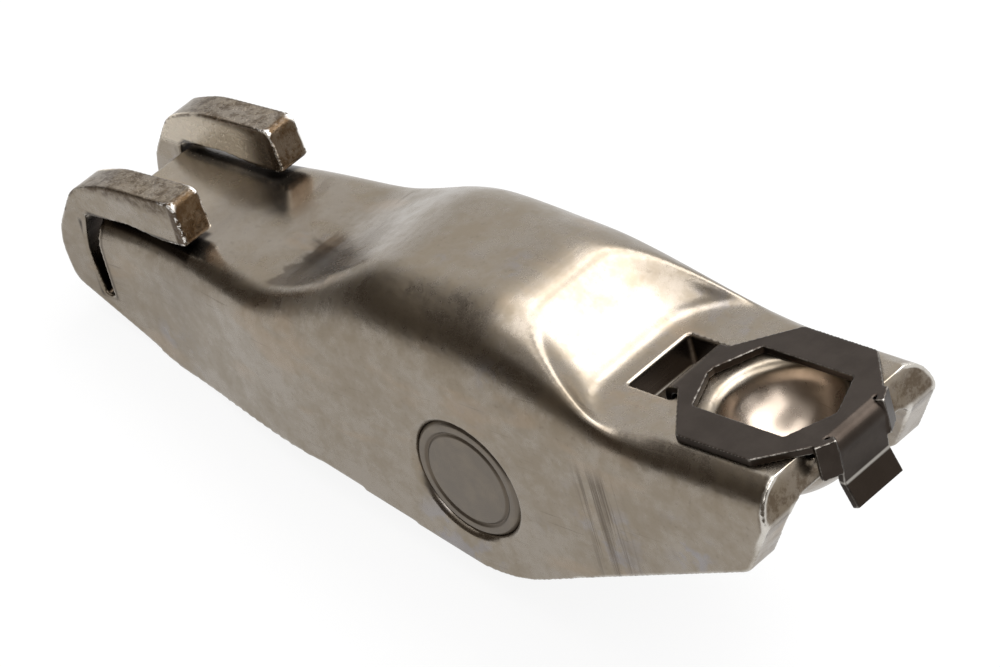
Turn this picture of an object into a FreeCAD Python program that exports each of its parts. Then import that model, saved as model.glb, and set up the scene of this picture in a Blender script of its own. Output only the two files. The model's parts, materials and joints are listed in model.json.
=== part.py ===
import FreeCAD, Part
import math
import os

import PartDesign
import Sketcher

from FreeCAD import Placement, Rotation, Vector

os.makedirs("parts", exist_ok=True)

# Roller finger follower, pressed from one sheet.
# Own frame: the roller axle lies along Y at the origin, the flat seat of the ball
# socket is level, +X points to the socket end, +Z from the roller to the web.
# Every piece is drawn in that frame and then laid down together on roller and foot.

SIZES = {
    # sheet
    "sheet_thickness": 2.2,
    "coined_depth": 0.15,
    # half widths over the outside of the two walls
    "valve_half_width": 5.3,
    "roller_half_width": 7.5,
    "socket_inset": 0.05,
    # stations along the lever
    "valve_edge_x": 31.6,
    "flare_start_x": 30.4,
    "flare_end_x": 12.0,
    "pad_end_x": 22.5,
    "valley_x": 16.6,
    "hump_left_x": 5.0,
    "hump_right_x": 1.8,
    "blank_end_x": 17.3,
    "socket_edge_x": 24.7,
    # heights of the web above the axle
    "valve_pad_height": 8.05,
    "valley_height": 7.85,
    "hump_height": 11.45,
    "seat_height": 7.1,
    # outer radii between web and walls
    "valve_shoulder": 2.15,
    "hump_shoulder": 4.55,
    "crest_shoulder": 5.1,
    "seat_shoulder": 2.65,
    # land pressed down into the web: straight ramp, flat floor, rounded corners
    "ramp_foot_x": 8.85,
    "ramp_slope": 0.99,
    "land_half_width": 6.5,
    "land_corner": 4.0,
    "ramp_foot_round": 1.6,
    # lower edge of the walls
    "heel_x": 34.9,
    "heel_height": 2.9,
    "foot_x": 27.2,
    "foot_depth": 1.35,
    "waist_x": 12.6,
    "waist_depth": 2.85,
    "belly_x": 1.2,
    "belly_depth": 6.95,
    "toe_x": 22.6,
    "toe_height": 0.95,
    "nose_x": 24.9,
    "nose_height": 4.6,
    "belly_round": 10.0,
    "toe_round": 1.2,
    # hooked guide lugs
    "hook_tip_x": 23.0,
    "hook_top": 11.55,
    "hook_gap": 0.4,
    "hook_leg": 2.35,
    "slot_width": 0.8,
    "slot_bottom": 2.4,
    # seat of the ball
    "socket_x": 20.2,
    "ball_radius": 3.75,
    "ball_height": 0.25,
    "lip_width": 0.7,
    # cross slot in the web
    "cross_slot_left": 10.75,
    "cross_slot_right": 14.2,
    "cross_slot_half": 2.65,
    # axle
    "axle_radius": 4.0,
    "axle_recess": 0.15,
    "axle_edge": 0.25,
    "axle_clearance": 0.01,
    "bore_countersink": 0.3,
    "stake_ring_radius": 3.15,
    "stake_ring_width": 0.3,
    "stake_ring_depth": 0.15,
    # roller on full complement needles
    "roller_radius": 8.2,
    "roller_side_gap": 0.3,
    "roller_edge": 0.6,
    "needle_radius": 0.8,
    "needle_clearance": 0.015,
    "needle_shorter": 0.4,
    "needle_edge": 0.25,
    # retaining clip of spring sheet
    "clip_thickness": 0.5,
    "clip_lift": 0.02,
    "clip_left_x": 14.4,
    "clip_left_half": 2.2,
    "clip_side_left_x": 17.25,
    "clip_side_right_x": 22.85,
    "clip_half_width": 5.6,
    "clip_right_x": 25.5,
    "clip_right_half": 3.0,
    "clip_bend": 0.9,
    "tongue_x": 13.2,
    "tongue_hook": 1.6,
    "tongue_drop": 3.35,
    "tab_half_width": 1.95,
    "tab_x": 26.35,
    "tab_waist_x": 25.95,
    "tab_waist_z": 4.4,
    "tab_lip_x": 26.6,
    "tab_lip_z": 2.9,
    "ear_height": 2.3,
    "hexagon_centre_x": 19.75,
    "hexagon_half_length": 4.8,
    "hexagon_flat": 6.9,
    "hexagon_half_width": 3.05,
    "notch_depth": 0.75,
    "notch_half": 0.35,
}

NEEDLE_COUNT = 18

doc = FreeCAD.newDocument("follower")
sheet = doc.addObject("Spreadsheet::Sheet", "sizes")
for row, (alias, number) in enumerate(SIZES.items(), start=1):
    sheet.set("A%d" % row, alias.replace("_", " "))
    sheet.set("B%d" % row, str(number))
    sheet.setAlias("B%d" % row, alias)
doc.recompute()


class Size:
    """A length together with the sheet expression that gives it."""

    def __init__(self, value, text):
        self.value = float(value)
        self.text = text

    def joined(self, other, sign, value):
        return Size(value, "(%s %s %s)" % (self.text, sign, as_size(other).text))

    def __add__(self, other):
        return self.joined(other, "+", self.value + as_size(other).value)

    def __sub__(self, other):
        return self.joined(other, "-", self.value - as_size(other).value)

    def __mul__(self, other):
        return self.joined(other, "*", self.value * as_size(other).value)

    def __truediv__(self, other):
        return self.joined(other, "/", self.value / as_size(other).value)

    def __neg__(self):
        return Size(-self.value, "(0 - %s)" % self.text)


def as_size(number):
    return number if isinstance(number, Size) else Size(number, repr(float(number)))


def size(alias):
    return Size(getattr(sheet, alias), "sizes." + alias)


def blend(start, end, share):
    return start + (end - start) * share


def by_value(length):
    return length.value


def bind(thing, path, length):
    thing.setExpression(path, as_size(length).text)


def origin_plane(body, role):
    return next(f for f in body.Origin.OriginFeatures if f.Role == role)


def new_body(name):
    body = doc.addObject("PartDesign::Body", name)
    body.Label = name
    return body


def new_sketch(body, name, role, offset=0.0):
    sketch = body.newObject("Sketcher::SketchObject", name)
    sketch.AttachmentSupport = [(origin_plane(body, role), "")]
    sketch.MapMode = "FlatFace"
    sketch.AttachmentOffset = Placement(Vector(0, 0, as_size(offset).value), Rotation())
    bind(sketch, "AttachmentOffset.Base.z", offset)
    return sketch


def outline(sketch, corners):
    """Closed outline through corners (across, up, round), each bound to the sheet."""
    corners = [tuple(as_size(v) for v in corner) for corner in corners]
    count = len(corners)
    points = [Vector(c[0].value, c[1].value, 0) for c in corners]
    arrive, leave, centres = [], [], []
    for i, corner in enumerate(corners):
        back = (points[i - 1] - points[i]).normalize()
        ahead = (points[(i + 1) % count] - points[i]).normalize()
        radius = corner[2].value
        if radius == 0:
            arrive.append(points[i])
            leave.append(points[i])
            centres.append(None)
            continue
        half = back.getAngle(ahead) / 2
        reach = radius / math.tan(half)
        arrive.append(points[i] + back * reach)
        leave.append(points[i] + ahead * reach)
        middle = (back + ahead).normalize()
        centres.append(points[i] + middle * (radius / math.sin(half)))
    lines = []
    for i in range(count):
        line = Part.LineSegment(leave[i], arrive[(i + 1) % count])
        lines.append(sketch.addGeometry(line, False))

    def rule(*terms):
        return sketch.addConstraint(Sketcher.Constraint(*terms))

    def sized(kind, name, length, *terms):
        index = rule(kind, *terms, length.value)
        sketch.renameConstraint(index, name)
        bind(sketch, "Constraints." + name, length)

    for i, corner in enumerate(corners):
        before, after = lines[i - 1], lines[i]
        if centres[i] is None:
            rule("Coincident", before, 2, after, 1)
            sized("DistanceX", "across%d" % i, corner[0], -1, 1, after, 1)
            sized("DistanceY", "up%d" % i, corner[1], -1, 1, after, 1)
            continue
        back, ahead = arrive[i] - points[i], leave[i] - points[i]
        outward = back.cross(ahead).z < 0
        first, last = (arrive[i], leave[i]) if outward else (leave[i], arrive[i])
        start = math.atan2(first.y - centres[i].y, first.x - centres[i].x)
        end = math.atan2(last.y - centres[i].y, last.x - centres[i].x)
        circle = Part.Circle(centres[i], Vector(0, 0, 1), corner[2].value)
        arc = sketch.addGeometry(Part.ArcOfCircle(circle, start, end), False)
        rule("Tangent", before, 2, arc, 1 if outward else 2)
        rule("Tangent", arc, 2 if outward else 1, after, 1)
        sized("Radius", "round%d" % i, corner[2], arc)
        mark = sketch.addGeometry(Part.Point(points[i]), True)
        rule("PointOnObject", mark, 1, before)
        rule("PointOnObject", mark, 1, after)
        sized("DistanceX", "across%d" % i, corner[0], -1, 1, mark, 1)
        sized("DistanceY", "up%d" % i, corner[1], -1, 1, mark, 1)


def feature(body, kind, name, sketch):
    made = body.newObject("PartDesign::" + kind, name)
    made.Profile = sketch
    return made


def prism(body, kind, name, sketch, length, symmetric=True):
    """Pad or Pocket of a given length, about its sketch plane or to one side."""
    made = feature(body, kind, name, sketch)
    made.Type = "Length"
    made.SideType = "Symmetric" if symmetric else "One side"
    bind(made, "Length", length)
    return made


def turned(body, kind, name, sketch, axis):
    made = feature(body, kind, name, sketch)
    made.ReferenceAxis = (sketch, [axis])
    made.Angle = 360
    return made


# Form of the channel along the lever: half width over the walls, height of the web
# and radius between web and wall, each eased from one named place to the next.

STATION_COUNT = 41

wall = size("sheet_thickness")
seat = size("seat_height")
blank = seat + size("coined_depth")
wide = size("roller_half_width")
pad, hump = size("valve_pad_height"), size("hump_height")
edge_x, end_x = -size("valve_edge_x"), size("socket_edge_x")
valley_x, hump_left = -size("valley_x"), -size("hump_left_x")
hump_right, blank_end = size("hump_right_x"), size("blank_end_x")
ramp_x = size("ramp_foot_x")

WIDTHS = [
    (-size("flare_start_x"), size("valve_half_width")),
    (-size("flare_end_x"), wide),
    (ramp_x, wide),
    (size("socket_x"), wide - size("socket_inset")),
]
HEIGHTS = [
    (-size("pad_end_x"), pad),
    (valley_x, size("valley_height")),
    (hump_left, hump),
    (hump_right, hump),
    (blank_end, blank),
]
SHOULDERS = [
    (valley_x, size("valve_shoulder")),
    (hump_left, size("hump_shoulder")),
    (hump_right + 1.5, size("crest_shoulder")),
    (blank_end, size("seat_shoulder")),
]


def eased(places, x):
    """Size at x, eased without a kink between the named places on either side."""
    if x <= places[0][0].value:
        return places[0][1]
    for (left, start), (right, end) in zip(places, places[1:]):
        if x < right.value:
            share = (x - left.value) / (right.value - left.value)
            return blend(start, end, share * share * (3 - 2 * share))
    return places[-1][1]


def web_height(x):
    """Height at x of the middle of the web, after the land is pressed into it."""
    ramp = seat + (ramp_x - x) / size("ramp_slope")
    return min((eased(HEIGHTS, x), max((ramp, seat), key=by_value)), key=by_value)


def inner_height(x):
    """Height of the web's inside at x: everywhere one sheet away from its outside."""
    trials = []
    for k in range(-20, 21):
        lean = k / 20.5
        trials.append(web_height(x + wall.value * lean) - wall * math.sqrt(1 - lean * lean))
    return min(trials, key=by_value)


def section(body, name, place, half, top, shoulder, floor):
    """Channel section: flat web, round shoulders, upright walls down to a level floor."""
    sketch = new_sketch(body, name, "YZ_Plane", place)
    outline(sketch, [
        (-half, floor, 0),
        (half, floor, 0),
        (half, top, shoulder),
        (-half, top, shoulder),
    ])
    return sketch


def loft(body, kind, name, sketches):
    made = feature(body, kind, name, sketches[0])
    made.Sections = sketches[1:]
    made.Ruled = False
    made.Closed = False
    return made


def on_line(x, first, second):
    """Height at x of the straight line through two corners."""
    rise = (second[1] - first[1]) / (second[0] - first[0])
    return first[1] + (x - first[0]) * rise


HEEL = (-size("heel_x"), size("heel_height"))
FOOT = (-size("foot_x"), -size("foot_depth"))
WAIST = (-size("waist_x"), -size("waist_depth"))
BELLY = (size("belly_x"), -size("belly_depth"))
TOE = (size("toe_x"), size("toe_height"))
NOSE = (size("nose_x"), size("nose_height"))


def arm_channel(body):
    """Pressed channel: a loft of rounded sections, hollowed by one set in by the sheet."""
    floor = -size("belly_depth") - 2.0
    outer, inner = [], []
    for i in range(STATION_COUNT):
        place = blend(edge_x, end_x + 1.0, i / (STATION_COUNT - 1))
        half, top = eased(WIDTHS, place.value), eased(HEIGHTS, place.value)
        shoulder = eased(SHOULDERS, place.value)
        outer.append(section(body, "outside_%02d" % i, place, half, top, shoulder, floor))
    loft(body, "AdditiveLoft", "channel", outer)
    doc.recompute()
    for i in range(STATION_COUNT):
        place = blend(edge_x - 1.0, end_x + 2.0, i / (STATION_COUNT - 1))
        half, top = eased(WIDTHS, place.value) - wall, inner_height(place.value)
        shoulder = eased(SHOULDERS, place.value) * 0.45
        inner.append(section(body, "inside_%02d" % i, place, half, top, shoulder, floor - 1.0))
    loft(body, "SubtractiveLoft", "hollow", inner)


def arm_land(body):
    """Land pressed into the web: a straight ramp down from the hump to the flat seat."""
    half, corner = size("land_half_width"), size("land_corner")
    far, high = end_x + 4.0, hump + 1.0
    slope, bend = size("ramp_slope"), size("ramp_foot_round")
    ramp = math.atan2(1.0, slope.value)
    start = ramp_x + bend * math.tan(ramp / 2)
    places = [
        (start - bend * math.sin(turn), seat + bend * (1 - math.cos(turn)))
        for turn in (0, ramp / 2, ramp)
    ]
    places.append((ramp_x - (high - seat) * slope, high))
    levels = []
    for number, (left, level) in enumerate(places):
        sketch = new_sketch(body, "land_%02d" % number, "XY_Plane", level)
        outline(sketch, [
            (left, -half, corner),
            (far, -half, 0),
            (far, half, 0),
            (left, half, corner),
        ])
        levels.append(sketch)
    loft(body, "SubtractiveLoft", "land", levels).Ruled = True


def arm_edge(body):
    """Boat-shaped lower edge of both walls and the trimmed socket end."""
    sketch = new_sketch(body, "edge_outline", "XZ_Plane")
    low = -size("belly_depth") - 8.0
    left = edge_x - 3.0
    outline(sketch, [
        (left, low, 0),
        (end_x + 6.0, low, 0),
        (end_x + 6.0, hump + 3.0, 0),
        (end_x, hump + 3.0, 0),
        (end_x, seat - 0.8, 0),
        (NOSE[0], NOSE[1], 0.8),
        (TOE[0], TOE[1], size("toe_round")),
        (BELLY[0], BELLY[1], size("belly_round")),
        (WAIST[0], WAIST[1], 8.0),
        (FOOT[0], FOOT[1], 4.0),
        (left, on_line(left, HEEL, FOOT), 0),
    ])
    prism(body, "Pocket", "edge", sketch, wide * 3)


def arm_hooks(body):
    """Guide lugs: each wall runs past the end of the web, turns up and back over it."""
    under = pad + size("hook_gap")
    leg = size("hook_leg")
    slot_x = edge_x - size("slot_width")
    root_x = edge_x + 1.1
    tip_x = -size("hook_tip_x")
    top = size("hook_top")
    sketch = new_sketch(body, "hook_outline", "XZ_Plane")
    outline(sketch, [
        (root_x, on_line(root_x, HEEL, FOOT), 0),
        (root_x, size("slot_bottom"), 0),
        (slot_x + 0.05, size("slot_bottom"), 0.3),
        (slot_x - 0.45, blend(size("slot_bottom"), under, 0.52), 5.0),
        (slot_x + 0.35, under - 0.05, 0.6),
        (tip_x - 5.0, under + 0.35, 4.0),
        (tip_x - 2.0, under, 2.0),
        (tip_x + 0.35, under + 0.15, 0.35),
        (tip_x - 0.05, top, 0.5),
        (tip_x - 6.5, top - 0.35, 9.0),
        (slot_x - leg + 2.1, top - 1.35, 3.0),
        (slot_x - leg - 0.65, blend(size("slot_bottom"), top, 0.40), 4.5),
        (HEEL[0], HEEL[1], 1.3),
    ])
    half = size("valve_half_width")
    prism(body, "Pad", "hooks", sketch, half * 2)
    doc.recompute()
    prism(body, "Pocket", "hooks_apart", sketch, (half - wall) * 2)


def ball_outline(sketch, centre, radius, top):
    """Half outline of a ball about the upright axis, cut off level at the top."""
    middle, ball, level = centre.value, radius.value, top.value
    reach = math.sqrt(ball ** 2 - (level - middle) ** 2)
    circle = Part.Circle(Vector(0, middle, 0), Vector(0, 0, 1), ball)
    arc = sketch.addGeometry(Part.ArcOfCircle(circle, -math.pi / 2, math.atan2(level - middle, reach)), False)
    lid = sketch.addGeometry(Part.LineSegment(Vector(reach, level, 0), Vector(0, level, 0)), False)
    stem = sketch.addGeometry(Part.LineSegment(Vector(0, level, 0), Vector(0, middle - ball, 0)), False)
    rules = [
        ("Coincident", arc, 2, lid, 1),
        ("Coincident", lid, 2, stem, 1),
        ("Coincident", stem, 2, arc, 1),
        ("Horizontal", lid),
        ("PointOnObject", stem, 1, -2),
        ("PointOnObject", stem, 2, -2),
        ("PointOnObject", arc, 3, -2),
    ]
    for rule in rules:
        sketch.addConstraint(Sketcher.Constraint(*rule))
    for kind, name, length, place in (("DistanceY", "centre", centre, (-1, 1, arc, 3)),
                                      ("Radius", "ball", radius, (arc,)),
                                      ("DistanceY", "top", top, (-1, 1, stem, 1))):
        index = sketch.addConstraint(Sketcher.Constraint(kind, *place, length.value))
        sketch.renameConstraint(index, name)
        bind(sketch, "Constraints." + name, length)


def arm_socket(body):
    """Pressed ball cup: a dome below the web and a round-lipped cup in the seat."""
    centre = seat + size("ball_height")
    ball = size("ball_radius")
    dome = new_sketch(body, "dome_outline", "YZ_Plane", size("socket_x"))
    ball_outline(dome, centre, ball + wall * 0.85, seat - 0.6)
    turned(body, "Revolution", "dome", dome, "V_Axis")
    doc.recompute()
    cup = new_sketch(body, "cup_outline", "YZ_Plane", size("socket_x"))
    ball_outline(cup, centre, ball, centre + 1.0)
    hollow = turned(body, "Groove", "cup", cup, "V_Axis")
    doc.recompute()
    rim = [
        "Edge%d" % n for n, edge in enumerate(body.Shape.Edges, start=1)
        if abs(edge.BoundBox.ZMin - seat.value) < 0.01 and abs(edge.BoundBox.ZMax - seat.value) < 0.01
        and edge.BoundBox.YLength < 2.2 * ball.value and hasattr(edge.Curve, "Radius")
        and edge.BoundBox.XMin > size("cross_slot_right").value
    ]
    lip = body.newObject("PartDesign::Fillet", "lip")
    lip.Base = (hollow, rim)
    bind(lip, "Radius", size("lip_width"))


def arm_openings(body):
    """Cross slot in the web and the countersunk bores of the axle."""
    slot = new_sketch(body, "slot_outline", "XY_Plane")
    half = size("cross_slot_half")
    outline(slot, [
        (size("cross_slot_left"), -half, 0.2),
        (size("cross_slot_right"), -half, 0.2),
        (size("cross_slot_right"), half, 0.2),
        (size("cross_slot_left"), half, 0.2),
    ])
    prism(body, "Pocket", "cross_slot", slot, hump * 4)
    doc.recompute()
    bore = size("axle_radius") + size("axle_clearance")
    sink = size("bore_countersink")
    far = wide + 1.5
    outline_bore = new_sketch(body, "bore_outline", "YZ_Plane")
    outline(outline_bore, [
        (-far, 0, 0),
        (far, 0, 0),
        (far, bore + sink + 1.5, 0),
        (wide - sink, bore, 0),
        (-wide + sink, bore, 0),
        (-far, bore + sink + 1.5, 0),
    ])
    turned(body, "Groove", "bores", outline_bore, "H_Axis")


def make_arm():
    body = new_body("arm_body")
    steps = (arm_channel, arm_land, arm_edge, arm_hooks, arm_socket, arm_openings)
    for step in steps:
        volume = body.Shape.Volume if body.Tip else 0.0
        step(body)
        doc.recompute()
        print("%-14s %9.2f -> %9.2f" % (step.__name__, volume, body.Shape.Volume))
    return body


def make_axle():
    """Plain axle, its ends set back in the bores and ringed by the staking punch."""
    body = new_body("axle_pin")
    radius, edge = size("axle_radius"), size("axle_edge")
    end = wide - size("axle_recess")
    ring, half, deep = size("stake_ring_radius"), size("stake_ring_width") / 2, size("stake_ring_depth")
    sketch = new_sketch(body, "axle_outline", "XY_Plane")
    outline(sketch, [
        (0, -end, 0),
        (ring - half, -end, 0),
        (ring, -end + deep, 0),
        (ring + half, -end, 0),
        (radius - edge, -end, 0),
        (radius, -end + edge, 0),
        (radius, end - edge, 0),
        (radius - edge, end, 0),
        (ring + half, end, 0),
        (ring, end - deep, 0),
        (ring - half, end, 0),
        (0, end, 0),
    ])
    turned(body, "Revolution", "axle", sketch, "V_Axis")
    return body


needle_orbit = size("axle_radius") + size("needle_radius") + size("needle_clearance")
roller_half = wide - wall - size("roller_side_gap")


def ring_outline(sketch, inner, outer, half, inner_edge, outer_edge):
    outline(sketch, [
        (inner, -half, inner_edge),
        (outer, -half, outer_edge),
        (outer, half, outer_edge),
        (inner, half, inner_edge),
    ])


def make_roller():
    """Outer ring of the needle bearing, which runs on the cam."""
    body = new_body("roller")
    bore = needle_orbit + size("needle_radius") + size("needle_clearance")
    sketch = new_sketch(body, "roller_outline", "XY_Plane")
    ring_outline(sketch, bore, size("roller_radius"), roller_half, 0.3, size("roller_edge"))
    turned(body, "Revolution", "ring", sketch, "V_Axis")
    return body


def make_needle(number):
    """One needle, drawn on the axle's line and moved out to its place by its placement."""
    body = new_body("needle_%02d" % number)
    half = roller_half - size("needle_shorter") / 2
    radius, edge = size("needle_radius"), size("needle_edge")
    sketch = new_sketch(body, "needle_outline_%02d" % number, "XY_Plane")
    outline(sketch, [
        (0, -half, 0),
        (radius, -half, edge),
        (radius, half, edge),
        (0, half, 0),
    ])
    turned(body, "Revolution", "needle_roll_%02d" % number, sketch, "V_Axis")
    return body


clip_low = seat + size("clip_lift")
clip_high = clip_low + size("clip_thickness")


def clip_plate(body):
    """Flat eight-sided plate with the six-sided hole that snaps over the ball."""
    sketch = new_sketch(body, "plate_outline", "XY_Plane", clip_low)
    left, right = size("clip_left_x"), size("clip_right_x")
    side_left, side_right = size("clip_side_left_x"), size("clip_side_right_x")
    left_half, right_half, half = size("clip_left_half"), size("clip_right_half"), size("clip_half_width")
    outline(sketch, [
        (left, -left_half, 0.2),
        (side_left, -half, 0.3),
        (side_right, -half, 0.3),
        (right, -right_half, 0.2),
        (right, right_half, 0.2),
        (side_right, half, 0.3),
        (side_left, half, 0.3),
        (left, left_half, 0.2),
    ])
    prism(body, "Pad", "plate", sketch, size("clip_thickness"), symmetric=False)
    doc.recompute()
    hole = new_sketch(body, "hole_outline", "XY_Plane", clip_low)
    x, long_half = size("hexagon_centre_x"), size("hexagon_half_length")
    flat, high = size("hexagon_flat") / 2, size("hexagon_half_width")
    notch, deep = size("notch_half"), size("notch_depth")
    outline(hole, [
        (x - long_half - deep + 0.1, -notch, 0.1),
        (x - long_half + 0.1, -notch, 0),
        (x - flat, -high, 0.25),
        (x + flat, -high, 0.25),
        (x + long_half, 0, 0.4),
        (x + flat, high, 0.25),
        (x - flat, high, 0.25),
        (x - long_half + 0.1, notch, 0),
        (x - long_half - deep + 0.1, notch, 0.1),
    ])
    prism(body, "Pocket", "hole", hole, size("clip_thickness") * 4)


def clip_tongue(body):
    """Tongue through the cross slot, hooked under the web."""
    thick, bend = size("clip_thickness"), size("clip_bend")
    x, drop = size("tongue_x"), size("tongue_drop")
    reach = x + size("tongue_hook")
    root = size("clip_left_x") + 0.6
    sketch = new_sketch(body, "tongue_outline", "XZ_Plane")
    outline(sketch, [
        (root, clip_high, 0),
        (x, clip_high, bend),
        (x, clip_high - drop, bend),
        (reach, clip_high - drop, 0.1),
        (reach, clip_high - drop + thick, 0.1),
        (x + thick, clip_high - drop + thick, bend - thick),
        (x + thick, clip_low, bend - thick),
        (root, clip_low, 0),
    ])
    prism(body, "Pad", "tongue", sketch, size("clip_left_half") * 2)


def clip_tab(body):
    """Finger tab bent down past the end of the web and flared out at its foot."""
    thick, bend = size("clip_thickness"), size("clip_bend")
    root = size("clip_right_x") - 0.7
    x, waist_x, waist_z = size("tab_x"), size("tab_waist_x"), size("tab_waist_z")
    lip_x, lip_z = size("tab_lip_x"), size("tab_lip_z")
    sketch = new_sketch(body, "tab_outline", "XZ_Plane")
    outline(sketch, [
        (root, clip_low, 0),
        (x - thick, clip_low, bend - thick),
        (waist_x - thick, waist_z, 0.8),
        (lip_x - thick, lip_z - 0.15, 0),
        (lip_x, lip_z, 0),
        (waist_x + 0.02, waist_z + 0.1, 0.4),
        (x, clip_high, bend),
        (root, clip_high, 0),
    ])
    prism(body, "Pad", "tab", sketch, size("tab_half_width") * 2)


def clip_ears(body):
    """Small ears bent down on both sides of the tab."""
    thick = size("clip_thickness")
    x = size("clip_right_x") + 0.15
    for name, side in (("near_ear", -1), ("far_ear", 1)):
        near = (size("tab_half_width") + 0.1) * side
        far = (size("clip_right_half") + 0.2) * side
        sketch = new_sketch(body, name + "_outline", "XY_Plane", clip_high)
        inward, across = thick * 0.87, thick * 0.49 * side
        outline(sketch, [
            (x, far, 0),
            (x + 0.65, near, 0),
            (x + 0.65 - inward, near - across, 0),
            (x - inward, far - across, 0),
        ])
        ear = prism(body, "Pad", name, sketch, size("ear_height"), symmetric=False)
        ear.Reversed = True
        doc.recompute()


def make_clip():
    body = new_body("retaining_clip")
    for step in (clip_plate, clip_tongue, clip_tab, clip_ears):
        step(body)
        doc.recompute()
    return body


arm = make_arm()
axle = make_axle()
roller = make_roller()
needles = [make_needle(i + 1) for i in range(NEEDLE_COUNT)]
clip = make_clip()
doc.recompute()


def rest_tilt(shape, radius):
    """Tilt at which the roller and the valve end of the walls touch one level surface."""
    tilt = math.pi / 4
    for edge in shape.Edges:
        if edge.Length < 0.01:
            continue
        for point in edge.discretize(Number=24):
            reach = math.hypot(point.x, point.z)
            if point.x < 0 and reach > radius * 1.5:
                tilt = min(tilt, math.asin(radius / reach) - math.atan2(-point.z, -point.x))
    return tilt


tilt = rest_tilt(arm.Shape, size("roller_radius").value)
lean = Rotation(Vector(0, 1, 0), -math.degrees(tilt))
pieces = {arm: Vector(), axle: Vector(), roller: Vector(), clip: Vector()}
for i, needle in enumerate(needles):
    turn = 2 * math.pi * (i + 0.5) / NEEDLE_COUNT
    pieces[needle] = Vector(math.cos(turn), 0, math.sin(turn)) * needle_orbit.value

for piece, place in pieces.items():
    piece.Placement = Placement(lean.multVec(place), lean)
doc.recompute()
box = FreeCAD.BoundBox()
for piece in pieces:
    box.add(piece.Shape.optimalBoundingBox(False, False))
shift = Vector(-box.Center.x, 0, -box.ZMin)
for piece in pieces:
    piece.Placement = Placement(piece.Placement.Base + shift, lean)
doc.recompute()

for thing in doc.Objects:
    if "Invalid" in thing.State or "Error" in thing.State:
        raise RuntimeError("%s: %s" % (thing.Name, thing.State))
for piece in pieces:
    shape = piece.Shape
    if shape.isNull() or not shape.isValid() or len(shape.Solids) != 1:
        raise RuntimeError("%s is not one valid solid" % piece.Label)

print("tilt %.3f degrees, axle at %.4f %.4f" % (math.degrees(tilt), shift.x, shift.z))
print("box %.3f %.3f %.3f" % (box.XLength, box.YLength, box.ZLength))
for piece in pieces:
    piece.Shape.exportStep("parts/%s.step" % piece.Label)
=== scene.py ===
import json
from math import cos, pi, sin

import bmesh
import bpy
import numpy as np
from bpy.props import FloatProperty, FloatVectorProperty, IntProperty, PointerProperty
from mathutils import Matrix, Vector


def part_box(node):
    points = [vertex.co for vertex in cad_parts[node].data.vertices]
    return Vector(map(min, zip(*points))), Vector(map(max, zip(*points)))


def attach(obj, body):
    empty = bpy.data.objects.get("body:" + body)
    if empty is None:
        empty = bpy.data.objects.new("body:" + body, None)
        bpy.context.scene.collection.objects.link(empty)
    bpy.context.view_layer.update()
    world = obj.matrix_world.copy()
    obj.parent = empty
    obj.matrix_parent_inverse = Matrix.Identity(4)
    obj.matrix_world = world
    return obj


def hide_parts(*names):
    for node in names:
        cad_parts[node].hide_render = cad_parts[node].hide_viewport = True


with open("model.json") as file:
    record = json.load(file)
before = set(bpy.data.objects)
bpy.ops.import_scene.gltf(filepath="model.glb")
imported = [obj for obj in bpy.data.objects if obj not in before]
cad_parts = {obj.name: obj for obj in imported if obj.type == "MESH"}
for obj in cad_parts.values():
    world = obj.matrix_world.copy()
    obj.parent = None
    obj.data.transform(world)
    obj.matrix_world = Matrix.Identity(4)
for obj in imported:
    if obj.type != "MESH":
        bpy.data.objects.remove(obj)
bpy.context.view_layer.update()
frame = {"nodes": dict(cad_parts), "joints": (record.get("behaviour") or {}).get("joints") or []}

bl_info = {
    "name": "Rocker Arm",
    "version": (1, 0, 0),
    "blender": (4, 5, 0),
    "location": "3D View > Sidebar > Rocker Arm",
    "description": "Finishes the packed rocker arm in worn pressed steel on a plain stage",
    "category": "Object",
}

MM = 0.001
AXLE = Vector(frame["joints"][0]["pos_m"])

# Half the floor's side, each lamp's distance from the axle and the reach of the weld, in metres
FLOOR_HALF = 3.0
LAMP_REACH = 0.8
WELD = 1e-6

# Share of plain white in the floor as seen. The rest is its own shading, which keeps the shadow.
FLOOR_WHITE = 0.9

# Way to the middle of the white backdrop, and the cosines to it at which the room ends and full white begins
BACKDROP = (0.10, 1.0, 0.15)
ROOM_EDGE = -0.05
WHITE_EDGE = 0.44

# Share of the way to the middle of its neighbours that a point moves forth and back in each round of easing
EASE = (0.5, -0.52)

# Scale of the crown attribute, per cell of the skin
CROWN_GAIN = 4

AXLE_SEGMENTS = 192
ROLLER_SEGMENTS = 256
NEEDLE_SEGMENTS = 40

# Middle of the ball cup, in millimetres along the lever from the axle
CUP_PLACE = 20.2

# Turning marks on the axle's ends, in radians per millimetre
TURNING_RATE = 46.0

# Way from the axle to each lamp, and the lamp's width and depth in metres
LAMPS = {
    "key": ((0.43, 0.20, 0.88), 0.46, 1.66),
    "side": ((-0.48, 0.24, 0.84), 0.28, 1.0),
    "back": ((0.0, 0.56, 0.83), 0.80, 0.62),
    "top": ((-0.03, -0.06, 1.0), 1.55, 1.55),
}

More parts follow.
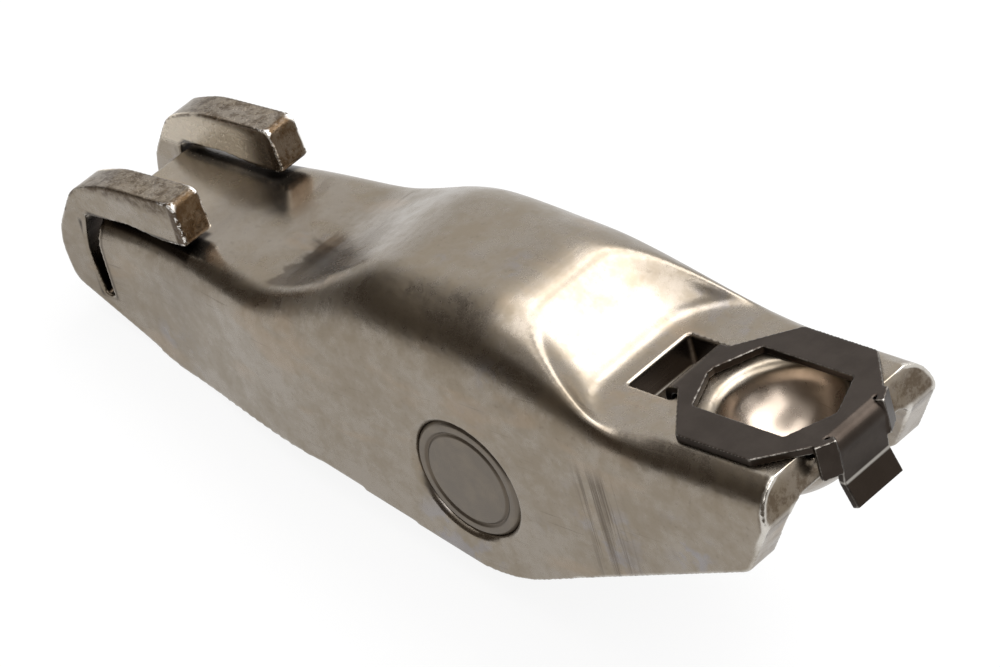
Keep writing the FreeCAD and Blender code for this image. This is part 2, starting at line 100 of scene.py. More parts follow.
# Regions of the lever in millimetres: along it from the axle, high above the axle, across it from its middle
# plane, and side, which is across without its sign. Of two numbers, the share is 0 at the first and 1 at the
# second. Three numbers are the ends of a band and the half width of its slopes.
REGIONS = {
    "lug": {"along": (-21.9, -22.6), "high": (8.05, 8.4)},
    "lug_inside": {"along": (-22.6, -23.4), "high": (8.2, 11.0, 0.3), "side": (3.45, 3.15)},
    "lug_end": {"along": (-23.5, -22.4, 0.12), "high": (8.0, 8.3)},
    # Painted shade inside the slots at the valve end
    "slot": {"along": (-32.75, -31.25, 0.15), "high": (2.3, 7.9, 0.25), "side": (3.0, 3.3)},
    # Painted shadow on the web under the hooks of the lugs
    "painted_lug_shadow": {"along": (-31.7, -23.1, 0.25), "high": (7.45, 8.75, 0.1), "side": (2.8, 3.15)},
    # Painted shade inside the window
    "window": {"along": (10.5, 14.4, 0.08), "side": (2.85, 2.7), "high": (7.02, 6.8)},
    "torn_end": {"along": (24.25, 24.6), "high": (7.0, 6.4)},
    "round_slot": {"along": (-33.6, -30.6, 0.2), "high": (2.0, 8.4, 0.3)},
    "beside_axle": {"along": (10.0, 13.2, 0.6), "high": (-3.4, 4.2, 1.0), "across": (-7.0, -7.3)},
    "web": {"along": (-5.0, -9.0), "high": (6.9, 7.3), "side": (4.6, 3.8)},
    # Painted shade on the clip's tongue down in the window
    "clip_tab_shade": {"high": (6.9, 6.4), "along": (20.0, 18.0)},
    # Painted shade on the lip below the bend of the clip's end tab
    "clip_lip_shade": {"high": (4.5, 4.3), "along": (24.0, 25.0)},
    # Painted highlight along the bend above the end tab's lip
    "clip_fold_highlight": {"high": (4.36, 4.52, 0.06), "along": (24.0, 25.0)},
}


# Sizes and colours


def colour(name, description, value):
    return FloatVectorProperty(
        name=name, description=description, default=value, size=3, subtype="COLOR", min=0, max=1
    )


def length(name, description, value):
    return FloatProperty(name=name, description=description, default=value * MM, unit="LENGTH", precision=6)


def angle(name, description, value):
    return FloatProperty(name=name, description=description, default=value, subtype="ANGLE")


def share_of(name, description, value):
    return FloatProperty(name=name, description=description, default=value, subtype="FACTOR")


def watts(name, description, value):
    return FloatProperty(name=name, description=description, default=value, subtype="POWER")


def rounds(name, description, value):
    return IntProperty(name=name, description=description, default=value)


class RockerSizes(bpy.types.PropertyGroup):
    rest_tilt: angle("Rest tilt", "Tilt of the lever at rest on roller and foot", 0.259269)
    arm_cell: length("Arm cell", "Cell of the arm's skin", 0.125)
    arm_passes: rounds("Arm passes", "Rounds of easing on the arm's skin", 20)
    arm_share: share_of("Arm share", "Share of the skin's faces that is kept", 0.29)
    rim_passes: rounds("Rim passes", "Further rounds on the ramp's crest, the land's rim and the cup", 45)
    clip_cell: length("Clip cell", "Cell of the clip's skin", 0.07)
    clip_passes: rounds("Clip passes", "Rounds of easing on the clip's skin", 6)
    clip_share: share_of("Clip share", "Share of the skin's faces that is kept", 0.8)
    stake_radius: length("Staking ring radius", "Middle of the ring punched into the axle's ends", 3.15)
    stake_width: length("Staking ring width", "Width of that ring", 0.36)
    stake_depth: length("Staking ring depth", "Depth of that ring", 0.15)
    axle_edge: length("Axle edge", "Bevel at the axle's ends", 0.25)
    roller_bore: length("Roller bore", "Radius that the needles run in", 5.63)
    roller_edge: length("Roller edge", "Rounding of the roller's outer edges", 0.6)
    roller_crown: length("Roller crown", "Fall of the running face from its middle to its edges", 0.012)
    needle_edge: length("Needle edge", "Rounding of the needles' ends", 0.25)


class RockerColours(bpy.types.PropertyGroup):
    steel: colour("Steel", "Bare pressed steel", (0.290, 0.254, 0.212))
    film: colour("Oil film", "Steel under a thin brown film of oil", (0.240, 0.200, 0.150))
    stain: colour("Stain", "Steel under a thick dark film", (0.100, 0.077, 0.055))
    scale: colour("Scale", "Brown scale on sheared and bent faces", (0.060, 0.037, 0.019))
    # Bare steel of rubbed edges, also used for painted highlights on the walls' end edges and along the
    # clip's bend
    bright: colour("Bright edge", "Steel rubbed bare along the edges", (0.62, 0.59, 0.54))
    spring: colour("Spring steel", "Dark oiled spring sheet of the clip", (0.043, 0.034, 0.028))
    pin: colour("Axle steel", "Hardened steel of the axle's ends", (0.145, 0.124, 0.102))
    bearing: colour("Bearing steel", "Ground steel of roller and needles", (0.50, 0.49, 0.47))
    blue: colour("Blue cast", "Steel under a thin bluish film", (0.25, 0.26, 0.32))
    warm: colour("Warm cast", "Steel under a thin tan film", (0.33, 0.245, 0.165))
    # Painted light: a pale lit patch on the lugs' inner faces near their hooks
    pale: colour("Pale lug", "Pale inner face of the lugs near their hooks", (0.70, 0.62, 0.50))
    cup: colour("Ball cup", "Polished ball socket", (0.42, 0.35, 0.29))
    # Partly wear, partly painted highlight: bare chips near white like glints
    chip: colour("Chip", "Bare chips on the tips of the lugs", (0.95, 0.92, 0.87))
    # Painted shade: near black inside the slots, where little light reaches
    slot: colour("Slot", "Dirt in the slots", (0.02, 0.012, 0.007))
    # Painted shadow: near black on the web under the lugs' hooks, where their shadow falls
    shade: colour("Under the lugs", "Dirt under the hooks of the lugs", (0.02, 0.013, 0.008))
    # Painted shade: near black inside the window and on the clip's tongue down in it
    window: colour("Window", "Dirt in the window and on the tab in it", (0.03, 0.02, 0.014))
    oil: colour("Spring oil", "Spring sheet under a darker film", (0.026, 0.020, 0.016))
    # Painted shade: the lip below the bend of the clip's end tab
    lip: colour("Tongue lip", "Dark lip of the clip's tongue", (0.024, 0.017, 0.012))
    floor: colour("Floor", "Pale floor", (0.80, 0.80, 0.80))
    room: colour("Room", "Dark room on the camera's side", (0.080, 0.062, 0.045))


class RockerStudio(bpy.types.PropertyGroup):
    turn: angle("Turn", "Camera's turn about the upright", 0.728771)
    rise: angle("Rise", "Camera's height angle", 0.80936)
    pitch: angle("Pitch", "Pitch of the lever in the camera's level frame", 0.316373)
    distance: length("Distance", "From the camera to the axle", 379.779)
    aside: length("Aside", "Axle's place right of the middle of the view", 2.98475)
    above: length("Above", "Axle's place above the middle of the view", -4.52047)
    lens: FloatProperty(
        name="Lens",
        description="Focal length for a 36 mm wide frame",
        default=234.0,
        subtype="DISTANCE_CAMERA",
    )
    key: watts("Key", "Power of the long soft lamp above the socket", 7.4)
    side: watts("Side", "Power of the soft lamp above the valve end", 2.5)
    back: watts("Back", "Power of the soft lamp behind, between these two", 4.4)
    top: watts("Top", "Power of the large soft lamp overhead", 4.0)
    fill: FloatProperty(name="Fill", description="Strength of the surroundings' diffuse light", default=0.7)


# Shader maths


class Value:
    """A number that varies over a surface. Arithmetic on it adds Math nodes."""

    def __init__(self, tree, socket):
        self.tree = tree
        self.socket = socket

    def maths(self, operation, *terms):
        node = self.tree.node("ShaderNodeMath", {"operation": operation}, dict(enumerate(terms)))
        return Value(self.tree, node.outputs[0])

    def __add__(self, other):
        return self.maths("ADD", self, other)

    def __sub__(self, other):
        return self.maths("SUBTRACT", self, other)

    def __rsub__(self, other):
        return self.maths("SUBTRACT", other, self)

    def __mul__(self, other):
        return self.maths("MULTIPLY", self, other)

    def __pow__(self, other):
        return self.maths("POWER", self, other)

    def __abs__(self):
        return self.maths("ABSOLUTE", self)

    __radd__ = __add__
    __rmul__ = __mul__

    def most(self, other):
        return self.maths("MAXIMUM", self, other)

    def rise(self, low, high):
        """0 at low and 1 at high, with an eased slope between. It falls where low is above high."""
        node = self.tree.node(
            "ShaderNodeMapRange",
            {"interpolation_type": "SMOOTHSTEP"},
            {"Value": self, "From Min": low, "From Max": high},
        )
        return Value(self.tree, node.outputs["Result"])

    def between(self, low, high, soft):
        return self.rise(low - soft, low + soft) * self.rise(high + soft, high - soft)


class Tree:
    """Nodes of a material or of the world, each made by the one method node."""

    def __init__(self, owner):
        owner.use_nodes = True
        self.nodes, self.links = owner.node_tree.nodes, owner.node_tree.links
        self.nodes.clear()

    def node(self, kind, settings=None, inputs=None):
        node = self.nodes.new(kind)
        for name, value in (settings or {}).items():
            setattr(node, name, value)
        for name, value in (inputs or {}).items():
            self.plug(value, node.inputs[name])
        return node

    def plug(self, value, socket):
        if isinstance(value, Value):
            value = value.socket
        if isinstance(value, bpy.types.NodeSocket):
            self.links.new(value, socket)
        else:
            socket.default_value = value

    def tint(self, factor, first, second):
        """Colour that turns from first to second as factor goes from 0 to 1."""
        first, second = (
            tuple(c) + (1,) if not isinstance(c, bpy.types.NodeSocket) else c for c in (first, second)
        )
        node = self.node("ShaderNodeMix", {"data_type": "RGBA"}, {0: factor, 6: first, 7: second})
        return node.outputs[2]

    def mixed(self, factor, first, second):
        """Shader that turns from first to second as factor goes from 0 to 1."""
        return self.node("ShaderNodeMixShader", {}, {0: factor, 1: first.outputs[0], 2: second.outputs[0]})

    def rays(self, *kinds):
        """1 where light is followed back from one of these kinds of ray, 0 elsewhere."""
        path = self.node("ShaderNodeLightPath")
        first, *others = (Value(self, path.outputs[kind]) for kind in kinds)
        for other in others:
            first = first.most(other)
        return first


class Finish(Tree):
    """Procedural material on Object coordinates, laid out in the lever's own frame in millimetres."""

    def __init__(self, name, **surface):
        self.material = bpy.data.materials.new(name)
        super().__init__(self.material)
        self.shader = self.node("ShaderNodeBsdfPrincipled", {}, surface)
        self.output = self.node("ShaderNodeOutputMaterial", {}, {"Surface": self.shader.outputs[0]})
        sizes = bpy.context.scene.rocker_sizes
        self.lean = sizes.rest_tilt
        self.where = self.placed(self.node("ShaderNodeTexCoord").outputs["Object"])
        parts = self.node("ShaderNodeSeparateXYZ", {}, {"Vector": self.where})
        self.along, self.across, self.high = (Value(self, socket) for socket in parts.outputs)
        self.side = abs(self.across)

    def placed(self, socket):
        turn = Matrix.Rotation(self.lean, 3, "Y")
        shift = turn @ AXLE / -MM
        node = self.node(
            "ShaderNodeMapping",
            {},
            {"Vector": socket, "Scale": (1 / MM,) * 3, "Rotation": (0, self.lean, 0), "Location": shift},
        )
        return node.outputs[0]

    def noise(self, size, detail=3.0, rough=0.5, stretch=(1, 1, 1), turn=0.0, place=0.0):
        """Cloudy pattern with spots about size millimetres apart, drawn out by stretch."""
        spot = self.node(
            "ShaderNodeMapping",
            {},
            {
                "Vector": self.where,
                "Scale": tuple(1 / (size * s) for s in stretch),
                "Rotation": (0, turn, 0),
                "Location": (place, place * 1.7, place * 0.6),
            },
        )
        node = self.node(
            "ShaderNodeTexNoise",
            {"noise_dimensions": "3D"},
            {"Vector": spot.outputs[0], "Scale": 1.0, "Detail": detail, "Roughness": rough},
        )
        return Value(self, node.outputs[0])

    def region(self, name):
        """1 inside a region of the lever and 0 outside it."""
        shares = []
        for axis, span in REGIONS[name].items():
            value = getattr(self, axis)
            shares.append(value.between(*span) if len(span) == 3 else value.rise(*span))
        first, *others = shares
        for other in others:
            first = first * other
        return first

    def attribute(self, name):
        node = self.node("ShaderNodeAttribute", {"attribute_type": "GEOMETRY", "attribute_name": name})
        return Value(self, node.outputs["Fac"])

    def bump(self, height, distance):
        """Normal of a relief, where a height of 1 stands out by distance millimetres."""
        node = self.node("ShaderNodeBump", {}, {"Height": height, "Distance": distance * MM, "Strength": 1.0})
        return node.outputs[0]

    def set(self, **values):
        names = {"base": "Base Color", "rough": "Roughness", "normal": "Normal", "metal": "Metallic"}
        for name, value in values.items():
            self.plug(value, self.shader.inputs[names[name]])
        return self.material


def pressed_steel(colours):
    """Satin pressed steel: cloudy oil film, dark stains, pitted lugs, bare edges and scratches, with painted
    shade in the slots, in the window and under the hooks of the lugs, a painted pale lit patch inside the
    lugs, and painted highlights on the lugs' tips and the walls' end edges.
    """
    f = Finish("pressed_steel", Metallic=1.0)
    crown = f.attribute("crown")
    cloud = f.noise(5.5, 4, 0.62)
    fine = f.noise(1.1, 5, 0.68, place=7)
    speck = f.noise(0.34, 3, 0.7, place=13)
    patch = f.noise(9.0, 3, 0.55, (1.5, 1, 1), place=3)
    film = (cloud * 0.55 + fine * 0.45).rise(0.38, 0.62)
    base = f.tint(film, colours.steel, colours.film)
    base = f.tint(patch.rise(0.52, 0.78) * 0.30, base, colours.stain)
    base = f.tint(speck.rise(0.56, 0.74) * 0.26, base, colours.stain)
    blue = f.noise(6.5, 2, 0.5, place=21).rise(0.55, 0.72) * f.noise(1.6, 3, 0.6, place=23).rise(0.45, 0.6)
    base = f.tint(blue * 0.35, base, colours.blue)
    warm = f.noise(3.5, 3, 0.6, (2.5, 1, 1), place=41).rise(0.56, 0.70)
    base = f.tint(warm * 0.35, base, colours.warm)

    lug = f.region("lug")
    lug_top = lug * f.high.rise(10.2, 10.9)
    lug_inside = f.region("lug_inside")
    spots = f.noise(0.7, 4, 0.75, place=11).rise(0.42, 0.62)
    base = f.tint(lug_top * (0.15 + 0.65 * spots), base, colours.scale)
    base = f.tint(lug_inside * 0.65, base, colours.scale)
    # Painted light: the lugs' inner faces turn pale towards their hooks, as where light falls on them
    pale = lug_inside * f.along.rise(-24.0, -26.5)
    base = f.tint(pale * 0.9, base, colours.pale)
    sheared = f.region("lug_end")
    base = f.tint(sheared * (0.8 + 0.2 * spots), base, colours.scale)
    # Painted shade: near black inside the slots at the valve end, kept off their rounded edges
    slot = f.region("slot")
    base = f.tint(slot * crown.rise(0.3, 0.0), base, colours.slot)
    # Painted shadow: near black on the web under the hooks of the lugs
    under = f.region("painted_lug_shadow")
    base = f.tint(under * 0.93, base, colours.shade)
    # Painted shade: near black inside the window, kept off its rounded edges
    window = f.region("window")
    base = f.tint(window * crown.rise(0.35, 0.1) * 0.95, base, colours.window)
    torn = f.region("torn_end")
    base = f.tint(torn * (0.35 + 0.4 * spots), base, colours.scale)

    reach = ((f.along - CUP_PLACE) ** 2.0 + f.side * f.side) ** 0.5
    cup = reach.rise(3.75, 3.45) * f.high.rise(7.2, 6.9)
    base = f.tint(cup * 0.85, base, colours.cup)

    # Darker in the concave corners of the skin, except in the ball cup
    hollow = crown.rise(-0.05, -0.55) * (1 - cup)
    base = f.tint(hollow * 0.6, base, colours.stain)
    worn = crown.rise(0.16, 0.7) * f.noise(1.6, 3, 0.6, place=5).rise(0.30, 0.50)
    slit = f.region("round_slot")
    base = f.tint(worn * (0.85 - 0.6 * lug) * (1 - 0.9 * slit), base, colours.bright)
    # Partly wear, partly painted highlight: the walls' end edges at the socket end, rubbed bare, are
    # brightened further as a painted highlight band
    end_edge_highlight = crown.rise(0.06, 0.26) * f.along.rise(22.6, 23.4)
    end_edge_highlight = end_edge_highlight * f.high.rise(2.6, 3.8) * f.side.rise(4.6, 5.2)
    base = f.tint(end_edge_highlight * 0.8, base, colours.bright)
    # A darker line along the lugs' rounded edges, in the scale colour
    dark_lug_edges = lug * crown.rise(0.10, 0.40) * f.noise(0.9, 3, 0.65, (2, 1, 1), place=43).rise(0.42, 0.52)
    base = f.tint(dark_lug_edges * 0.75, base, colours.scale)
    # Partly wear, partly painted highlight: bare chips on the tips of the lugs, near white like glints
    tips = f.along.rise(-24.6, -23.9)
    chips = lug * tips * crown.rise(0.18, 0.50) * f.noise(0.5, 3, 0.7, place=31).rise(0.46, 0.52)
    base = f.tint(chips, base, colours.chip)

    marks = f.noise(0.55, 4, 0.72, (1, 1, 45), turn=0.13, place=2).rise(0.47, 0.63)
    rubbed = f.region("beside_axle")
    base = f.tint(marks * rubbed * 0.85, base, colours.stain)
    # A darker patch with a ragged border on the near half of the top, between the lugs and the axle
    edge = f.noise(2.6, 2, 0.5, (1.6, 0.5, 1), place=37) * 4.5
    dark_top_patch = (f.along + edge).rise(-14.2, -13.6) * (f.along + edge).rise(-7.6, -8.2)
    dark_top_patch = dark_top_patch * (f.across + 0.45 * f.along + edge).rise(-4.6, -5.4)
    dark_top_patch = dark_top_patch * f.high.rise(7.6, 7.9) * f.side.rise(5.4, 5.0)
    base = f.tint(dark_top_patch * 0.85, base, colours.stain)
    hair = f.noise(0.10, 2, 0.5, (60, 60, 1), turn=0.35, place=9).rise(0.64, 0.72)
    hair = hair * f.noise(4.0, 2, 0.5, place=15).rise(0.48, 0.6)
    base = f.tint(hair * 0.35, base, colours.stain)

    web = f.region("web")
    rough = 0.21 - 0.05 * web + 0.07 * film + 0.09 * fine + 0.14 * lug_top
    rough = rough - 0.02 * cup - 0.05 * worn + 0.08 * hair
    grain = f.noise(0.11, 2, 0.6, place=1)
    pits = f.noise(0.30, 3, 0.65, place=4).rise(0.50, 0.66)
    drawn = f.noise(0.5, 3, 0.6, (1, 12, 1), place=17)
    height = grain * 0.09 + fine * 0.55 - pits * lug * 1.5 - marks * rubbed * 0.4 - hair * 0.15
    height = height + drawn * 0.5 + cloud * 1.2 - pits * 0.06
    calm = 1 - 0.93 * cup
    # The lugs' inner faces are less metallic for their oxide, and more so in the painted pale lit patch
    metal = 1 - 0.35 * lug_inside - 0.45 * pale
    return f.set(base=base, rough=rough, metal=metal, normal=f.bump(height * calm, 0.010))


def spring_steel(colours):
    """Dark oiled spring sheet, rubbed bright along its bends and corners, with painted shade on its tongue
    down in the window and on its end tab's lip, and a painted highlight along the bend above that lip.
    """
    f = Finish("spring_steel", Metallic=1.0)
    crown = f.attribute("crown")
    cloud = f.noise(1.8, 4, 0.6)
    base = f.tint(cloud.rise(0.35, 0.68) * 0.6, colours.spring, colours.oil)
    rolled = f.noise(0.09, 2, 0.5, (1, 30, 1), place=6)
    worn = crown.rise(0.25, 0.8) * f.noise(0.5, 3, 0.6, place=5).rise(0.25, 0.6)
    base = f.tint(worn * 0.75, base, colours.bright)
    # Painted shade: the clip's tongue darkens where it reaches down into the window
    deep = f.region("clip_tab_shade")
    base = f.tint(deep * 0.8, base, colours.window)
    # Painted shade: the lip below the bend of the end tab is darkened so that the bend reads
    lip = f.region("clip_lip_shade")
    base = f.tint(lip * 0.6, base, colours.lip)
    # Painted highlight: a thin bright line along the bend above the end tab's lip
    bend_highlight = f.region("clip_fold_highlight")
    base = f.tint(bend_highlight * 0.5, base, colours.bright)
    rough = 0.30 + 0.12 * cloud + 0.06 * rolled - 0.08 * worn
    height = rolled * 0.35 + f.noise(0.4, 3, 0.6, place=8) * 0.5
    return f.set(base=base, rough=rough, normal=f.bump(height, 0.005))


def axle_steel(colours):
    """Faced axle end with faint turning rings and a dark staked ring."""
    f = Finish("axle_steel", Metallic=1.0)
    radius = (f.along * f.along + f.high * f.high) ** 0.5
    rings = radius.maths("SINE", radius * TURNING_RATE)
    cloud = f.noise(1.6, 4, 0.6)
    base = f.tint(cloud.rise(0.35, 0.7) * 0.35, colours.pin, colours.film)
    groove = radius.between(2.98, 3.32, 0.06)
    base = f.tint(groove * 0.45, base, colours.stain)
    rough = 0.30 + 0.12 * cloud + 0.1 * groove
    return f.set(base=base, rough=rough, normal=f.bump(rings * 0.25 + cloud, 0.004))


def bearing_steel(colours):
    """Ground and lapped steel with fine lines round the axle."""
    f = Finish("bearing_steel", Metallic=1.0)
    lines = f.noise(0.06, 2, 0.5, (40, 1, 40))
    cloud = f.noise(2.5, 3, 0.5)
    base = f.tint(cloud.rise(0.4, 0.75) * 0.35, colours.bearing, colours.film)
    rough = 0.14 + 0.10 * lines + 0.08 * cloud
    return f.set(base=base, rough=rough, normal=f.bump(lines, 0.002))


# Surfaces


def new_piece(name, points, faces, finish, body, *nodes):
    """Mesh object at the origin that rides on a body and stands for CAD nodes."""
    mesh = bpy.data.meshes.new(name)
    mesh.from_pydata(points.tolist(), [], [face.tolist() for face in faces])
    mesh.shade_smooth()
    piece = bpy.data.objects.new(name, mesh)
    bpy.context.scene.collection.objects.link(piece)
    mesh.materials.append(finish)
    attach(piece, body)
    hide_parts(*nodes)


def rounded(corners, radii, steps=6):
    """Profile with each corner replaced by a curve that leaves and meets its two sides
    at the corner's radius: (1-t)^2 start + 2t(1-t) corner + t^2 end."""
    corners = np.array(corners, float)
    radii = np.array(radii, float)[:, None]
    before = np.roll(corners, 1, axis=0) - corners
    after = np.roll(corners, -1, axis=0) - corners
    before /= np.linalg.norm(before, axis=1, keepdims=True)
    after /= np.linalg.norm(after, axis=1, keepdims=True)
    t = np.linspace(0, 1, steps)[None, :, None]
    start, end = (corners + before * radii)[:, None], (corners + after * radii)[:, None]
    path = (1 - t) ** 2 * start + 2 * t * (1 - t) * corners[:, None] + t**2 * end
    path = path.reshape(-1, 2)
    keep = np.linalg.norm(path - np.roll(path, 1, axis=0), axis=1) > 1e-7
    return path[keep]


def ring_faces(rows, columns, closed_rows):
    """Four-sided faces of a grid that closes on itself round the axis, and along the
    profile too where closed_rows is true."""
    last = rows if closed_rows else rows - 1
    i, j = np.meshgrid(np.arange(last), np.arange(columns), indexing="ij")
    i, j = i.ravel(), j.ravel()
    k, m = (i + 1) % rows, (j + 1) % columns
    return np.stack([i * columns + j, k * columns + j, k * columns + m, i * columns + m], axis=1)


def turned(profile, centre, segments, closed):
    """Points of a profile (radius, place along Y) carried round an axis along Y:
    x = radius sin(angle), z = radius cos(angle). An open profile ends on the axis,
    and each end has one pole point joined by a fan."""
    angle = np.linspace(0, 2 * pi, segments, endpoint=False)
    rings = profile if closed else profile[1:-1]
    radius, place = rings[:, 0, None], rings[:, 1, None]
    points = np.stack(
        [radius * np.sin(angle), place + 0 * angle, radius * np.cos(angle)], axis=2
    ).reshape(-1, 3)
    faces = list(ring_faces(len(rings), segments, closed))
    if not closed:
        low, high = len(points), len(points) + 1
        points = np.vstack([points, [[0, profile[0, 1], 0], [0, profile[-1, 1], 0]]])
        j = np.arange(segments)
        k = (j + 1) % segments
        base = (len(rings) - 1) * segments
        faces += list(np.stack([np.full(segments, low), j, k], axis=1))
        faces += list(np.stack([np.full(segments, high), base + k, base + j], axis=1))
    return points + np.array(centre), faces


def crown_of(points, edges, normals, spread=2):
    """How far each point stands out of the middle of its neighbours along its normal,
    in parts of the cell, eased over the mesh: above 0 on outer edges, below in corners."""
    count = np.bincount(edges.ravel(), minlength=len(points))[:, None]
    cell = np.linalg.norm(points[edges[:, 0]] - points[edges[:, 1]], axis=1).mean()

    def mean(values):
        total = np.zeros_like(values)
        np.add.at(total, edges[:, 0], values[edges[:, 1]])
        np.add.at(total, edges[:, 1], values[edges[:, 0]])
        return total / np.maximum(count, 1)

    out = ((points - mean(points)) * normals).sum(axis=1, keepdims=True) / cell * CROWN_GAIN
    for _ in range(spread):
        out = 0.5 * out + 0.5 * mean(out)
    return out[:, 0]


def eased(points, edges, shares, where=1.0):
    """Points moved in turn by each share of the way to the middle of their neighbours.
    A share back after each share forth rounds the edges and keeps the size."""
    count = np.maximum(np.bincount(edges.ravel(), minlength=len(points)), 1)[:, None]
    for share in shares:
        total = np.zeros_like(points)
        np.add.at(total, edges[:, 0], points[edges[:, 1]])
        np.add.at(total, edges[:, 1], points[edges[:, 0]])
        points = points + share * where * (total / count - points)
    return points


def smooth_places(points, sizes):
    """1 on the crest of the ramp, along the rim of the land and in the ball socket, 0
    elsewhere, with eased borders, for points in the lever's own frame."""
    turn = np.array(Matrix.Rotation(sizes.rest_tilt, 3, "Y"))
    along, across, high = ((points - np.array(AXLE)) @ turn.T / MM).T

    def rise(value, low, high):
        share = np.clip((value - low) / (high - low), 0, 1)
        return share * share * (3 - 2 * share)

    crest = rise(along, 1.0, 2.5) * rise(along, 10.2, 9.6)
    rim = rise(along, 9.0, 9.8) * rise(along, 17.0, 15.5) * rise(np.abs(across), 3.2, 3.9)
    cup = rise(np.hypot(along - CUP_PLACE, across), 3.5, 3.2) * rise(high, 7.1, 6.9)
    return np.maximum(np.maximum(crest, rim) * rise(high, 6.2, 6.8), cup)[:, None]


def tumbled(node, name, cell, passes, share, finish, body, soft=None):
    """Even skin over a pressed piece, with its edges rounded as tumbling leaves them."""
    source = frame["nodes"][node]
    mesh = source.data.copy()
    form = bmesh.new()
    form.from_mesh(mesh)
    bmesh.ops.remove_doubles(form, verts=form.verts, dist=WELD)
    form.to_mesh(mesh)
    form.free()
    piece = bpy.data.objects.new(name, mesh)
    bpy.context.scene.collection.objects.link(piece)
    skin = piece.modifiers.new("skin", "REMESH")
    skin.mode = "VOXEL"
    skin.voxel_size = cell
    fine = bpy.data.meshes.new_from_object(piece.evaluated_get(bpy.context.evaluated_depsgraph_get()))
    piece.modifiers.clear()
    points = np.empty(len(fine.vertices) * 3)
    fine.vertices.foreach_get("co", points)
    edges = np.empty(len(fine.edges) * 2, int)
    fine.edges.foreach_get("vertices", edges)
    points, edges = points.reshape(-1, 3), edges.reshape(-1, 2)
    points = eased(points, edges, EASE * passes)
    if soft:
        places = smooth_places(points, bpy.context.scene.rocker_sizes)
        points = eased(points, edges, EASE[:1] * soft, places)
    low, high = (np.array(corner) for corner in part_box(node))
    points = np.clip(points, low, high)
    fine.vertices.foreach_set("co", points.ravel())
    fine.update()
    normals = np.empty(len(points) * 3)
    fine.vertices.foreach_get("normal", normals)
    layer = fine.attributes.new("crown", "FLOAT", "POINT")
    layer.data.foreach_set("value", crown_of(points, edges, normals.reshape(-1, 3)).astype(np.float32))
    piece.data = fine
    lean = piece.modifiers.new("lean", "DECIMATE")
    lean.ratio = share
    skinned = bpy.data.meshes.new_from_object(piece.evaluated_get(bpy.context.evaluated_depsgraph_get()))
    piece.modifiers.clear()
    piece.data = skinned
    for spare in (mesh, fine):
        bpy.data.meshes.remove(spare)
    skinned.shade_smooth()
    skinned.materials.clear()
    skinned.materials.append(finish)
    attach(piece, body)
    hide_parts(node)


# Operators


